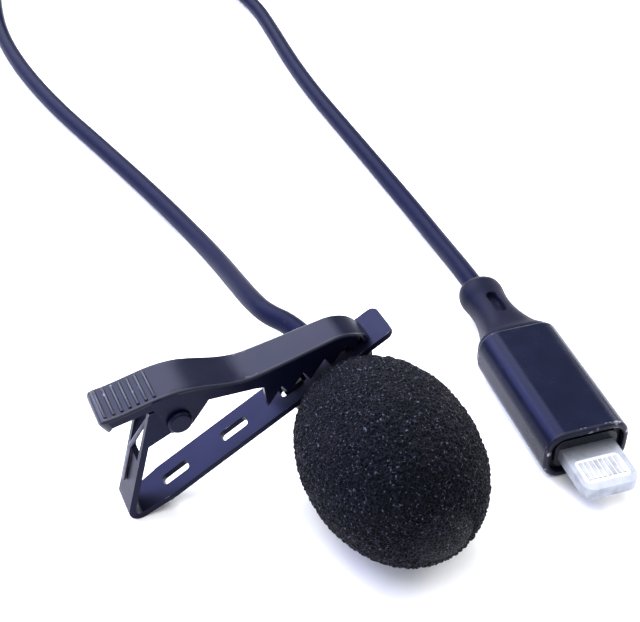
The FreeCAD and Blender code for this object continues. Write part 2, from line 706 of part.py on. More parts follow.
def main():
    os.makedirs("parts", exist_ok=True)
    for name, (place, shape) in all_parts().items():
        shape.Placement = place.multiply(shape.Placement)
        box = shape.optimalBoundingBox()
        print("%-24s solids %d valid %s volume %8.2f  x %.2f..%.2f y %.2f..%.2f z %.2f..%.2f" % (
            name, len(shape.Solids), shape.isValid(), shape.Volume,
            box.XMin, box.XMax, box.YMin, box.YMax, box.ZMin, box.ZMax))
        shape.exportStep("parts/%s.step" % name)


main()
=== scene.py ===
"""Looks of a clip-on lavalier microphone with a flat eight-contact plug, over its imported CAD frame."""

from __future__ import annotations

import json
import logging
import math
from dataclasses import dataclass, field
from enum import Enum
from typing import Dict, List, Optional, Sequence, Tuple, Union

import bmesh
import bpy
from mathutils import Matrix, Vector, noise


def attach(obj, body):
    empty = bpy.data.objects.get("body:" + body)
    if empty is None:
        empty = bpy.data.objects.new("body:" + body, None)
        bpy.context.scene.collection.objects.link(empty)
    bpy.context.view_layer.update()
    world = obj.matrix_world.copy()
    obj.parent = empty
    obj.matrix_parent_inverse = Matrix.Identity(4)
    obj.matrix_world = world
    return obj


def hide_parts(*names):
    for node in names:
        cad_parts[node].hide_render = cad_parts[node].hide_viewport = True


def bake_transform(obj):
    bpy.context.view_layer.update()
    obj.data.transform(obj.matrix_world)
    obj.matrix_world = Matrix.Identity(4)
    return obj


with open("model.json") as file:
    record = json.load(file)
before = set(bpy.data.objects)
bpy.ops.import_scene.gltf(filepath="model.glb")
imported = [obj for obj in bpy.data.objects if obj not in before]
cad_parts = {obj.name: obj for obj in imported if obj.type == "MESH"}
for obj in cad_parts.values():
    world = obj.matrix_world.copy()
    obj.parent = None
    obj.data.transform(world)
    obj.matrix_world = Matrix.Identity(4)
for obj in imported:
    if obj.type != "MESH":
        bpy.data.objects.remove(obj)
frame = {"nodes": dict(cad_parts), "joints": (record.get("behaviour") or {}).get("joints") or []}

LOG = logging.getLogger("lavalier")
MM = 0.001
AXIS_HEIGHT = 9.3       # of the microphone's axis above the surface, in millimetres
Colour = Tuple[float, float, float]
Point = Tuple[float, float, float]
Pair = Tuple[float, float]


# ---- shader bench -------------------------------------------------------------------------------
class Signal:
    """An output socket of a material, with the operators that shader sums are written in."""

    def __init__(self, bench: "Bench", socket: bpy.types.NodeSocket) -> None:
        """Wrap one socket.

        Args:
            bench: The material's node bench.
            socket: The output socket.
        """
        self.bench = bench
        self.socket = socket

    def _sum(self, operation: str, first: "Value", second: "Value" = 0.0) -> "Signal":
        """Add one Math node.

        Args:
            operation: The Math node's operation.
            first: Its first value.
            second: Its second value.

        Returns:
            The node's result.
        """
        return self.bench.node("ShaderNodeMath", {"operation": operation}, {0: first, 1: second})

    def __add__(self, other: "Value") -> "Signal":
        """Sum of two values."""
        return self._sum("ADD", self, other)

    def __radd__(self, other: "Value") -> "Signal":
        """Sum with a number on the left."""
        return self._sum("ADD", other, self)

    def __sub__(self, other: "Value") -> "Signal":
        """Difference of two values."""
        return self._sum("SUBTRACT", self, other)

    def __rsub__(self, other: "Value") -> "Signal":
        """Difference with a number on the left."""
        return self._sum("SUBTRACT", other, self)

    def __mul__(self, other: "Value") -> "Signal":
        """Product of two values."""
        return self._sum("MULTIPLY", self, other)

    def __rmul__(self, other: "Value") -> "Signal":
        """Product with a number on the left."""
        return self._sum("MULTIPLY", other, self)

    def above(self, level: float, width: float) -> "Signal":
        """Soft step from 0 to 1 as the value passes a level.

        Args:
            level: Where the step is half way.
            width: How wide the step is.

        Returns:
            The step, from 0 to 1.
        """
        sockets = {"Value": self, "From Min": level - width / 2, "From Max": level + width / 2}
        return self.bench.node("ShaderNodeMapRange", {"interpolation_type": "SMOOTHSTEP"}, sockets)


Value = Union[Signal, float, int, Colour]


class Bench:
    """Node bench of one material: adds nodes, and sets the final shader."""

    def __init__(self, name: str) -> None:
        """Start an empty material.

        Args:
            name: The material's name.
        """
        self.material = bpy.data.materials.new(name)
        self.material.use_nodes = True
        self.tree = self.material.node_tree
        self.tree.nodes.clear()

    def node(self, kind: str, settings: Optional[Dict[str, object]] = None,
             sockets: Optional[Dict[Union[int, str], Value]] = None, output: int = 0) -> Signal:
        """Add a node, set its options first, then its sockets.

        Args:
            kind: The node's type.
            settings: Its options; a ramp's stops are given as "stops".
            sockets: The values or signals of its inputs.
            output: Which of its outputs is used.

        Returns:
            That output.
        """
        made = self.tree.nodes.new(kind)
        for key, value in (settings or {}).items():
            if key == "stops":
                self._set_stops(made.color_ramp, value)
            else:
                setattr(made, key, value)
        for key, value in (sockets or {}).items():
            self._feed(made.inputs[key], value)
        return Signal(self, made.outputs[output])

    @staticmethod
    def _set_stops(ramp: bpy.types.ColorRamp, stops: Sequence[Tuple[float, Colour]]) -> None:
        """Give a ramp its stops.

        Args:
            ramp: The ramp.
            stops: Places and colours, in order.
        """
        while len(ramp.elements) < len(stops):
            ramp.elements.new(1.0)
        for element, (place, colour) in zip(ramp.elements, stops):
            element.position = place
            element.color = (*colour, 1.0)

    def _feed(self, socket: bpy.types.NodeSocket, value: Value) -> None:
        """Link a signal to a socket, or set its plain value.

        Args:
            socket: The input socket.
            value: The signal, number or colour.
        """
        if isinstance(value, Signal):
            self.tree.links.new(value.socket, socket)
        elif isinstance(value, tuple) and socket.type == "RGBA":
            socket.default_value = (*value, 1.0)
        else:
            socket.default_value = value

    def place(self) -> Signal:
        """Position on the object at rest, in metres."""
        return self.node("ShaderNodeTexCoord", output=3)

    def along(self, axis: str) -> Signal:
        """One coordinate of the position.

        Args:
            axis: X, Y or Z.

        Returns:
            The coordinate, in metres.
        """
        return self.node("ShaderNodeSeparateXYZ", {}, {0: self.place()}, output="XYZ".index(axis))

    def grain(self, size: float, detail: float = 2.0, stretch: Point = (1.0, 1.0, 1.0)) -> Signal:
        """Cloudy noise.

        Args:
            size: Size of its patches, in metres.
            detail: How many finer octaves it has.
            stretch: How much longer the patches are along each axis.

        Returns:
            Values about 0.5.
        """
        factors = tuple(1.0 / part for part in stretch)
        spot = self.node("ShaderNodeVectorMath", {"operation": "MULTIPLY"}, {0: self.place(), 1: factors})
        sockets = {"Vector": spot, "Scale": 1.0 / size, "Detail": detail}
        return self.node("ShaderNodeTexNoise", {"noise_dimensions": "3D"}, sockets)

    def cells(self, size: float, feature: str = "F1", output: int = 0) -> Signal:
        """Cell pattern.

        Args:
            size: Size of a cell, in metres.
            feature: The pattern's feature, such as F1 or DISTANCE_TO_EDGE.
            output: Which output is used.

        Returns:
            The pattern's value.
        """
        sockets = {"Vector": self.place(), "Scale": 1.0 / size}
        return self.node("ShaderNodeTexVoronoi", {"feature": feature}, sockets, output)

    def mix(self, first: Value, second: Value, share: Value) -> Signal:
        """Blend of two colours.

        Args:
            first: The colour at 0.
            second: The colour at 1.
            share: The blend, from 0 to 1.

        Returns:
            The blended colour.
        """
        return self.node("ShaderNodeMix", {"data_type": "RGBA"}, {0: share, 6: first, 7: second}, output=2)

    def bump(self, height: Value, depth: float, strength: float = 1.0) -> Signal:
        """Bumped normal.

        Args:
            height: The relief, from 0 to 1.
            depth: The relief's depth, in metres.
            strength: How much of it shows.

        Returns:
            The normal.
        """
        return self.node("ShaderNodeBump", {}, {"Strength": strength, "Distance": depth, "Height": height})

    def shade(self, **sockets: Value) -> bpy.types.Material:
        """Add the final shader.

        Args:
            **sockets: Its sockets, with underscores for spaces.

        Returns:
            The finished material.
        """
        named = {key.replace("_", " "): value for key, value in sockets.items()}
        shader = self.node("ShaderNodeBsdfPrincipled", {}, named)
        end = self.tree.nodes.new("ShaderNodeOutputMaterial")
        self.tree.links.new(shader.socket, end.inputs["Surface"])
        return self.material


# ---- finishes -----------------------------------------------------------------------------------
class Sheen(Enum):
    """How polished a finish is, as shader roughness."""

    MATT = 0.62
    SATIN = 0.42
    EGGSHELL = 0.33
    GLOSS = 0.26


@dataclass(frozen=True)
class Paint:
    """Stoved paint on steel: fine orange peel, cloudy gloss, a few rubbed specks."""

    name: str
    colour: Colour
    tint: Colour
    sheen: Sheen
    level: float = 0.35
    rub: float = 0.35

    def material(self) -> bpy.types.Material:
        """Make the paint as a material.

        Returns:
            The material.
        """
        bench = Bench(self.name)
        clouds = bench.grain(3.0 * MM, 3.0)
        fine = bench.grain(0.22 * MM, 2.0)
        speck = bench.grain(0.9 * MM, 5.0).above(0.74, 0.03) * self.rub
        worn = tuple(min(1.0, part * 6 + 0.02) for part in self.colour)
        light = tuple(part * 1.5 for part in self.colour)
        base = bench.mix(bench.mix(self.colour, light, clouds), worn, speck)
        rough = self.sheen.value + (clouds - 0.5) * 0.16 + (fine - 0.5) * 0.06
        return bench.shade(
            Base_Color=base, Roughness=rough, Specular_Tint=self.tint, Specular_IOR_Level=self.level,
            Normal=bench.bump(fine + clouds * 0.6, 0.008 * MM, 0.4))


@dataclass(frozen=True)
class EdgeWearAndHighlight:
    """Paint rubbed thin along an edge, with bare steel showing in places, and the edge paint lightened as a
    painted highlight.
    """

    name: str
    colour: Colour
    wear: float = 0.60
    level: float = 0.5
    steel: Colour = (0.42, 0.44, 0.50)

    def material(self) -> bpy.types.Material:
        """Make the worn edge, with its painted highlight, as a material.

        Returns:
            The material.
        """
        bench = Bench(self.name)
        patches = bench.grain(1.6 * MM, 4.0)
        chips = patches.above(self.wear, 0.10)
        # Lighter edge paint: partly paint rubbed thin, partly a painted highlight along the rolled edge.
        thin_and_highlit = tuple(part * 2.6 + 0.006 for part in self.colour)
        base = bench.mix(bench.mix(self.colour, thin_and_highlit, patches), self.steel, chips * 0.7)
        return bench.shade(
            Base_Color=base, Metallic=chips * 0.8, Roughness=0.36 - chips * 0.08,
            Specular_IOR_Level=self.level, Normal=bench.bump(patches, 0.01 * MM, 0.5))


@dataclass(frozen=True)
class Moulding:
    """Moulded plastic or rubber: spark-eroded grain and faint flow clouds."""

    name: str
    colour: Colour
    tint: Colour
    sheen: Sheen
    grain: float = 0.12 * MM
    depth: float = 0.015 * MM
    level: float = 0.6

    def material(self) -> bpy.types.Material:
        """Make the moulding as a material.

        Returns:
            The material.
        """
        bench = Bench(self.name)
        clouds = bench.grain(4.0 * MM, 2.0)
        grit = bench.cells(self.grain)
        dust = bench.grain(0.5 * MM, 6.0).above(0.70, 0.05)
        pale = tuple(min(1.0, part * 1.6 + 0.004) for part in self.colour)
        base = bench.mix(bench.mix(self.colour, pale, clouds), pale, dust)
        rough = self.sheen.value + (clouds - 0.5) * 0.12 + grit * 0.05
        return bench.shade(
            Base_Color=base, Roughness=rough, Specular_Tint=self.tint, Specular_IOR_Level=self.level,
            Normal=bench.bump(grit, self.depth, 0.7))


@dataclass(frozen=True)
class BareMetal:
    """Plated or drawn metal: fine lines along one axis and dull handling marks."""

    name: str
    colour: Colour
    sheen: Sheen
    stretch: Point = (1.0, 14.0, 1.0)
    line: float = 0.05 * MM

    def material(self) -> bpy.types.Material:
        """Make the metal as a material.

        Returns:
            The material.
        """
        bench = Bench(self.name)
        lines = bench.grain(self.line, 2.0, self.stretch)
        marks = bench.grain(1.3 * MM, 4.0)
        dull = tuple(part * 0.78 for part in self.colour)
        base = bench.mix(self.colour, dull, marks.above(0.55, 0.3))
        rough = self.sheen.value + lines * 0.12 + marks.above(0.6, 0.2) * 0.1
        return bench.shade(
            Base_Color=base, Metallic=1.0, Roughness=rough, Normal=bench.bump(lines, 0.004 * MM, 0.5))


@dataclass(frozen=True)
class OpenFoam:
    """Black open-cell foam: fine struts with painted glints in their base colour, and pores painted near
    black as shade.
    """

    name: str = "foam_open_cell"
    pore: float = 0.40 * MM
    # Pore colour: painted shade, near black, standing in for shade falling into the pores.
    pore_shade: Colour = (0.0002, 0.0002, 0.0005)
    strut: Colour = (0.0032, 0.0038, 0.0080)
    warm: Colour = (0.006, 0.004, 0.007)
    # Painted glint colour: a highlight put into the base colour of a few strut spots.
    painted_glint: Colour = (0.15, 0.17, 0.26)
    tint: Colour = (0.75, 0.82, 1.0)

    def material(self) -> bpy.types.Material:
        """Make the foam as a material.

        Returns:
            The material.
        """
        bench = Bench(self.name)
        wobble = bench.grain(0.35 * MM, 3.0)
        wall = bench.cells(self.pore, "DISTANCE_TO_EDGE")
        fine = bench.cells(self.pore * 0.55, "DISTANCE_TO_EDGE")
        strut = 1 - (wall + fine * 0.5 + (wobble - 0.5) * 0.22).above(0.17, 0.22)
        glint = bench.grain(0.30 * MM, 4.0).above(0.63, 0.05) * strut
        patches = bench.grain(4.5 * MM, 2.0)
        # The pores take the painted shade colour; the struts keep the foam's own colour.
        body = bench.mix(self.pore_shade, self.strut, strut)
        warm = bench.mix(body, self.warm, patches.above(0.62, 0.2) * 0.5)
        # Painted glints: the pale glint colour on a few strut spots stands in for highlights.
        base = bench.mix(warm, self.painted_glint, glint * 0.5)
        rough = 0.85 - strut * 0.35 - glint * 0.2
        return bench.shade(
            Base_Color=base, Roughness=rough, Specular_IOR_Level=0.10, Specular_Tint=self.tint,
            Normal=bench.bump(strut + wobble * 0.35, 0.16 * MM, 1.0))


@dataclass(frozen=True)
class Jacket:
    """Soft cable jacket: smooth extrusion with a faint bloom and fine dust."""

    name: str = "jacket_soft"
    colour: Colour = (0.0022, 0.0028, 0.014)
    bloomed: Colour = (0.006, 0.007, 0.026)
    dusty: Colour = (0.04, 0.045, 0.08)
    tint: Colour = (0.45, 0.52, 1.0)

    def material(self) -> bpy.types.Material:
        """Make the jacket as a material.

        Returns:
            The material.
        """
        bench = Bench(self.name)
        bloom = bench.grain(9.0 * MM, 3.0)
        skin = bench.grain(0.35 * MM, 3.0)
        dust = bench.grain(0.28 * MM, 5.0).above(0.71, 0.04)
        base = bench.mix(bench.mix(self.colour, self.bloomed, bloom), self.dusty, dust * 0.5)
        rough = 0.44 + (bloom - 0.5) * 0.2 + (skin - 0.5) * 0.1
        return bench.shade(
            Base_Color=base, Roughness=rough, Specular_Tint=self.tint, Specular_IOR_Level=0.045,
            Normal=bench.bump(skin, 0.02 * MM, 0.5))


@dataclass(frozen=True)
class BoardMask:
    """Green solder mask with paler tracks and bright pads."""

    name: str = "board_mask"
    track: Colour = (0.03, 0.16, 0.07)
    mask: Colour = (0.010, 0.075, 0.035)
    solder: Colour = (0.72, 0.70, 0.62)

    def material(self) -> bpy.types.Material:
        """Make the board as a material.

        Returns:
            The material.
        """
        bench = Bench(self.name)
        tracks = bench.cells(1.3 * MM, "DISTANCE_TO_EDGE").above(0.06, 0.02)
        weave = bench.grain(0.25 * MM, 2.0, (4.0, 1.0, 1.0))
        pads = 1 - bench.cells(1.1 * MM).above(0.22, 0.04)
        base = bench.mix(self.track, self.mask, tracks)
        return bench.shade(
            Base_Color=bench.mix(base, self.solder, pads), Metallic=pads, Roughness=0.35 + weave * 0.15,
            Normal=bench.bump(1 - tracks, 0.03 * MM, 0.6))


@dataclass(frozen=True)
class Backdrop:
    """Seamless pale paper for the floor."""

    name: str = "floor_paper"
    shade: Colour = (0.97, 0.97, 0.97)
    light: Colour = (0.99, 0.99, 0.99)

    def material(self) -> bpy.types.Material:
        """Make the paper as a material.

        Returns:
            The material.
        """
        bench = Bench(self.name)
        fibre = bench.grain(2.0 * MM, 4.0)
        base = bench.mix(self.shade, self.light, fibre)
        return bench.shade(Base_Color=base, Roughness=0.9, Specular_IOR_Level=0.1)


VIOLET = (0.36, 0.40, 1.0)
VIOLET_BLACK = (0.52, 0.56, 1.0)
COOL = (0.72, 0.78, 1.0)
Finish = Union[Paint, EdgeWearAndHighlight, Moulding, BareMetal, OpenFoam, Jacket, BoardMask]
FINISHES: Dict[str, Finish] = {
    "foam": OpenFoam(),
    "black_metal": Paint("barrel_black", (0.004, 0.004, 0.006), COOL, Sheen.SATIN, 0.2),
    "black_rubber": Moulding("bushing_rubber", (0.003, 0.003, 0.006), COOL, Sheen.MATT, level=0.14),
    "bright_metal": BareMetal("capsule_steel", (0.62, 0.62, 0.60), Sheen.GLOSS),
    "circuit_board": BoardMask(),
    "lead_insulation": Moulding("lead_sleeve", (0.35, 0.03, 0.02), (1.0, 0.9, 0.9), Sheen.SATIN),
    "black_plastic": Moulding("moulded_black", (0.003, 0.003, 0.005), COOL, Sheen.SATIN, level=0.3),
    "clip_paint": Paint("clip_paint", (0.002, 0.0023, 0.008), VIOLET, Sheen.SATIN, 0.15),
    "jaw_paint": Paint("jaw_paint", (0.002, 0.0023, 0.008), VIOLET_BLACK, Sheen.EGGSHELL, 0.14),
    # Edge finishes for rolled edges: real rubbed wear and bare steel, lightened as a painted highlight.
    "clip_edge": EdgeWearAndHighlight("clip_edge", (0.004, 0.0045, 0.011), 0.66, 0.3),
    "jaw_edge": EdgeWearAndHighlight("jaw_edge", (0.003, 0.0035, 0.010), 0.73, 0.24),
    "rim_edge": EdgeWearAndHighlight("rim_edge", (0.003, 0.0035, 0.010), 0.66, 0.14),
    "spring_steel": BareMetal("spring_wire", (0.10, 0.10, 0.13), Sheen.GLOSS),
    "plug_gloss": Paint("plug_shell_paint", (0.004, 0.0048, 0.012), VIOLET, Sheen.GLOSS, 0.085, 0.0),
    "tab_metal": BareMetal("tab_nickel", (0.34, 0.36, 0.42), Sheen.SATIN),
    "white_insulator": Moulding("tab_insulator", (0.40, 0.41, 0.46), (1.0, 1.0, 1.0), Sheen.SATIN),
    "contact_gold": BareMetal("contact_plating", (0.40, 0.41, 0.44), Sheen.MATT),
    "chip_ceramic": Moulding("chip_case", (0.02, 0.02, 0.02), (1.0, 1.0, 1.0), Sheen.MATT),
    "boot_rubber": Moulding("boot_rubber", (0.002, 0.0023, 0.008), VIOLET, Sheen.SATIN, level=0.07),
    "cable_jacket": Jacket(),
}


class Wardrobe:
    """Makes each finish once and dresses pieces in it."""

    def __init__(self) -> None:
        """Start with no finish made."""
        self.made: Dict[str, bpy.types.Material] = {}

    def material(self, slot: str) -> bpy.types.Material:
        """Material of a slot.

        Args:
            slot: The record's material slot.

        Returns:
            Its material.
        """
        if slot not in self.made:
            self.made[slot] = FINISHES[slot].material()
        return self.made[slot]

    def dress(self, piece: bpy.types.Object, slot: str) -> bpy.types.Object:
        """Put a slot's finish on a piece.

        Args:
            piece: The piece, or a CAD node's object.
            slot: The record's material slot.

        Returns:
            The piece.
        """
        piece.data.materials.clear()
        piece.data.materials.append(self.material(slot))
        return piece

    def dress_nodes(self, nodes: Dict[str, str]) -> None:
        """Dress CAD nodes that stay in view.

        Args:
            nodes: Slot of each node.
        """
        for name, slot in nodes.items():
            self.dress(frame["nodes"][name], slot)
            LOG.info("node %s wears %s", name, slot)


# ---- mesh helpers -------------------------------------------------------------------------------
def axis_point() -> Vector:
    """Find where the microphone's axis crosses the clip's middle plane.

    Returns:
        The point, set down on the surface.
    """
    swivel = next(joint for joint in frame["joints"] if joint["name"] == "clip_swivel")
    spot = Vector(swivel["pos_m"])
    return Vector((spot.x, spot.y, 0.0))


def smooth_faces(mesh: bpy.types.Mesh, sharp: float = 35.0) -> None:
    """Shade a mesh smooth, with edges over an angle kept crisp.

    Args:
        mesh: The mesh.
        sharp: The angle, in degrees.
    """
    work = bmesh.new()
    work.from_mesh(mesh)
    for face in work.faces:
        face.smooth = True
    for edge in work.edges:
        edge.smooth = len(edge.link_faces) != 2 or edge.calc_face_angle(0.0) < math.radians(sharp)
    work.to_mesh(mesh)
    work.free()


def grid_object(name: str, rows: Sequence[Sequence[Vector]], closed: bool) -> bpy.types.Object:
    """Mesh object over a grid of points.

    Args:
        name: The object's name.
        rows: Rows of points, all as long.
        closed: Whether each row joins up with its own start.

    Returns:
        The object, linked to the scene.
    """
    count = len(rows[0])
    points = [point for row in rows for point in row]
    faces = []
    for i in range(len(rows) - 1):
        for j in range(count if closed else count - 1):
            k = (j + 1) % count
            faces.append((i * count + j, i * count + k, (i + 1) * count + k, (i + 1) * count + j))
    mesh = bpy.data.meshes.new(name)
    mesh.from_pydata(points, [], faces)
    mesh.update()
    piece = bpy.data.objects.new(name, mesh)
    bpy.context.scene.collection.objects.link(piece)
    return piece


def rolled_copy(node: str, name: str, width: float) -> bpy.types.Object:
    """Copy of a CAD node with its crisp edges rolled over.

    Args:
        node: The CAD node.
        name: The copy's name.
        width: Width of the rolled edge, in millimetres.

    Returns:
        The copy, whose rolled and narrow faces carry the second material.
    """
    work = bmesh.new()
    work.from_mesh(frame["nodes"][node].data)
    bmesh.ops.remove_doubles(work, verts=work.verts, dist=0.001 * MM)
    bmesh.ops.dissolve_limit(work, angle_limit=0.02, verts=work.verts, edges=work.edges)
    crisp = [edge for edge in work.edges
             if len(edge.link_faces) == 2 and edge.calc_face_angle(0.0) > math.radians(35.0)]
    made = bmesh.ops.bevel(
        work, geom=crisp, offset=width * MM, offset_type="OFFSET", segments=2, profile=0.5,
        affect="EDGES", clamp_overlap=True)
    for face in work.faces:
        face.smooth = True
        narrow = face.calc_area() < face.calc_perimeter() * 0.055 * MM
        face.material_index = 1 if narrow else 0
    for face in made["faces"]:
        face.material_index = 1
    mesh = bpy.data.meshes.new(name)
    work.to_mesh(mesh)
    work.free()
    piece = bpy.data.objects.new(name, mesh)
    bpy.context.scene.collection.objects.link(piece)
    even = piece.modifiers.new("even_normals", "WEIGHTED_NORMAL")
    even.keep_sharp = True
    return piece


def swept_tube(name: str, line: Sequence[Vector], radius: float, sides: int) -> bpy.types.Object:
    """Round wire along a line, with domed ends.

    Args:
        name: The object's name.
        line: The wire's centre line.
        radius: The wire's radius.
        sides: How many sides it has.

    Returns:
        The object, linked to the scene.
    """
    rows = []
    normal = Vector((0.0, 1.0, 0.0))
    for i, spot in enumerate(line):
        ahead = line[min(i + 1, len(line) - 1)] - line[max(i - 1, 0)]
        ahead.normalize()
        normal = (normal - ahead * normal.dot(ahead)).normalized()
        side = ahead.cross(normal)
        ring = [normal * math.cos(2 * math.pi * j / sides) + side * math.sin(2 * math.pi * j / sides)
                for j in range(sides)]
        if i == 0:
            rows.append([spot - ahead * radius * 0.5 + part * radius * 0.05 for part in ring])
            rows.append([spot - ahead * radius * 0.35 + part * radius * 0.7 for part in ring])
        rows.append([spot + part * radius for part in ring])
        if i == len(line) - 1:
            rows.append([spot + ahead * radius * 0.35 + part * radius * 0.7 for part in ring])
            rows.append([spot + ahead * radius * 0.5 + part * radius * 0.05 for part in ring])
    tube = grid_object(name, rows, True)
    smooth_faces(tube.data, 70.0)
    return tube


# ---- studio -------------------------------------------------------------------------------------
@dataclass
class Softbox:
    """One square studio light, aimed at the object."""

    name: str
    place: Point
    size: float
    power: float
    colour: Colour = (1.0, 1.0, 1.0)

    def hang(self, aim: Vector) -> bpy.types.Object:
        """Hang the light.

        Args:
            aim: The point that it faces.

        Returns:
            The light's object.
        """
        lamp = bpy.data.lights.new(self.name, "AREA")
        lamp.shape = "SQUARE"
        lamp.size = self.size
        lamp.energy = self.power
        lamp.color = self.colour
        light = bpy.data.objects.new(self.name, lamp)
        light.location = aim + Vector(self.place)
        light.rotation_euler = Vector(self.place).to_track_quat("Z", "Y").to_euler()
        bpy.context.scene.collection.objects.link(light)
        return light


@dataclass
class Studio:
    """Camera, floor and soft light."""

    lens: float = 67.5
    turn: float = -24.48
    dip: float = 39.0
    stand: Point = (-43.4 * MM, -90.6 * MM, 101.0 * MM)
    floor_side: float = 6.0
    sky: Colour = (0.93, 0.95, 1.0)
    sky_strength: float = 0.55
    boxes: List[Softbox] = field(default_factory=lambda: [
        Softbox("back_bank", (-0.04, 0.50, 0.46), 0.52, 8.0, (0.95, 0.97, 1.0)),
        Softbox("far_bank", (-0.42, 0.46, 0.42), 0.40, 6.0, (0.50, 0.54, 1.0)),
        Softbox("left_bank", (-0.60, 0.00, 0.30), 0.45, 1.8, (0.80, 0.84, 1.0)),
        Softbox("top_fill", (-0.05, -0.05, 0.90), 0.90, 9.0),
        Softbox("right_rim", (0.55, 0.16, 0.30), 0.30, 3.0),
    ])

    def set_camera(self, origin: Vector) -> None:
        """Set up the camera at the customer's viewing angle.

        Args:
            origin: The point that its stand is measured from.
        """
        data = bpy.data.cameras.new("view")
        data.lens = self.lens
        data.sensor_width = 36.0
        data.clip_start = 1.0 * MM
        camera = bpy.data.objects.new("view", data)
        camera.location = origin + Vector(self.stand)
        camera.rotation_euler = (math.radians(90.0 - self.dip), 0.0, math.radians(self.turn))
        bpy.context.scene.collection.objects.link(camera)
        bpy.context.scene.camera = camera

    def set_light(self, origin: Vector) -> None:
        """Hang the lights and light the surroundings.

        Args:
            origin: The point that the lights are aimed at.
        """
        for box in self.boxes:
            box.hang(origin)
        world = bpy.data.worlds.new("surroundings")
        bpy.context.scene.world = world
        world.use_nodes = True
        back = world.node_tree.nodes["Background"]
        back.inputs["Color"].default_value = (*self.sky, 1.0)
        back.inputs["Strength"].default_value = self.sky_strength
        bpy.context.scene.view_settings.view_transform = "Standard"

    def lay_floor(self) -> None:
        """Lay the seamless floor."""
        steps = 24
        side = self.floor_side
        rows = []
        for i in range(steps + 1):
            y = (i / steps - 0.5) * side
            rows.append([Vector(((j / steps - 0.5) * side, y, 0.0)) for j in range(steps + 1)])
        floor = grid_object("floor", rows, False)
        floor.data.materials.append(Backdrop().material())


# ---- cable --------------------------------------------------------------------------------------
@dataclass
class Cable:
    """The cable from the microphone's bushing to the plug's boot, its spare length in a round coil."""

    wardrobe: Wardrobe
    radius: float = 1.33
    turn_radius: float = 14.6
    columns: Tuple[int, ...] = (4, 3, 4, 3)
    floor_height: float = 1.83
    layer_rise: float = 2.314
    coil_centre: Pair = (10.6, 157.0)
    per_turn: int = 16
    shift_from: float = 0.72
    length: float = 1.53
    mic_route: Tuple[Point, ...] = (
        (0, 8, 9.3), (-0.6, 11.4, 9.3), (-2.3, 15.5, 8.6), (-2.5, 20, 7.6), (-2.2, 26, 6), (-1.8, 34, 4),
        (-2, 44, 2.1), (-3.5, 56, 1.4), (-6.8, 73, 1.35), (-10.2, 89, 1.35), (-12.2, 105, 1.4),
        (-12.4, 119, 1.4), (-11, 131, 1.6), (-8.8, 141, 1.8), (-8, 150, 1.83))
    plug_route: Tuple[Point, ...] = (
        (27.37, 15.01, 3.35), (27.9, 19.5, 3.1), (29, 27, 1.9), (29.8, 36, 1.4), (30.2, 46, 1.35),
        (30.65, 60, 1.35), (31, 74, 1.35), (32, 87, 1.35), (33.7, 100, 1.4), (34.9, 111, 1.5),
        (33.4, 122, 2.1), (31, 132, 3.9), (29.6, 141, 6.4), (29.2, 150, 8.77))

    def rings(self) -> List[Pair]:
        """Radius and height of each turn, in the order that the cable is wound.

        Returns:
            Pairs in millimetres.
        """
        found: List[Pair] = []
        for layer, count in enumerate(self.columns):
            middle = (count - 1) / 2
            radii = [self.turn_radius + 2 * self.radius * (i - middle) for i in range(count)]
            if layer % 2 == 0:
                radii.reverse()
            found += [(radius, self.floor_height + self.layer_rise * layer) for radius in radii]
        return found

    def coil_points(self) -> List[Vector]:
        """Points of the coil, wound clockwise from its left side to its right side.

        Returns:
            Points in millimetres, from the microphone's axis.
        """
        rings = self.rings()
        reach = (3 + math.cos(2 * math.pi / self.per_turn)) / 4
        total = int((len(rings) - 0.5) * self.per_turn)
        points = []
        for step in range(1, total):
            turn, part = divmod(step / self.per_turn, 1.0)
            radius, height = rings[int(turn)]
            after_radius, after_height = rings[min(int(turn) + 1, len(rings) - 1)]
            shift = max(0.0, (part - self.shift_from) / (1 - self.shift_from))
            shift = shift * shift * (3 - 2 * shift)
            radius += (after_radius - radius) * shift
            height += (after_height - height) * shift
            angle = math.pi - 2 * math.pi * (step / self.per_turn)
            spot = Vector((math.cos(angle), math.sin(angle), 0.0)) * (radius / reach)
            points.append(spot + Vector((*self.coil_centre, height)))
        return points

    def build(self, origin: Vector, pieces: List[bpy.types.Object]) -> bpy.types.Object:
        """Lay the cable.

        Args:
            origin: The point that the routes are measured from.
            pieces: The pieces that lie on the cable, its plug among them; not used.

        Returns:
            The cable's curve object.
        """
        route = [Vector(point) for point in self.mic_route] + self.coil_points()
        route += [Vector(point) for point in reversed(self.plug_route)]
        data = bpy.data.curves.new("cable", "CURVE")
        data.dimensions = "3D"
        data.resolution_u = 6
        data.bevel_depth = self.radius * MM
        data.bevel_resolution = 6
        data.use_fill_caps = True
        spline = data.splines.new("NURBS")
        spline.points.add(len(route) - 1)
        for point, spot in zip(spline.points, route):
            point.co = (*(origin + spot * MM), 1.0)
        spline.order_u = 3
        spline.use_endpoint_u = True
        spline.use_smooth = True
        cable = bpy.data.objects.new("cable", data)
        bpy.context.scene.collection.objects.link(cable)
        self.wardrobe.dress(cable, "cable_jacket")
        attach(cable, "microphone")
        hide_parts("cable_mic_side", "cable_plug_side", "cable_coil")
        origin + route[0] * MM
        LOG.info("cable with %d points", len(route))
        return cable


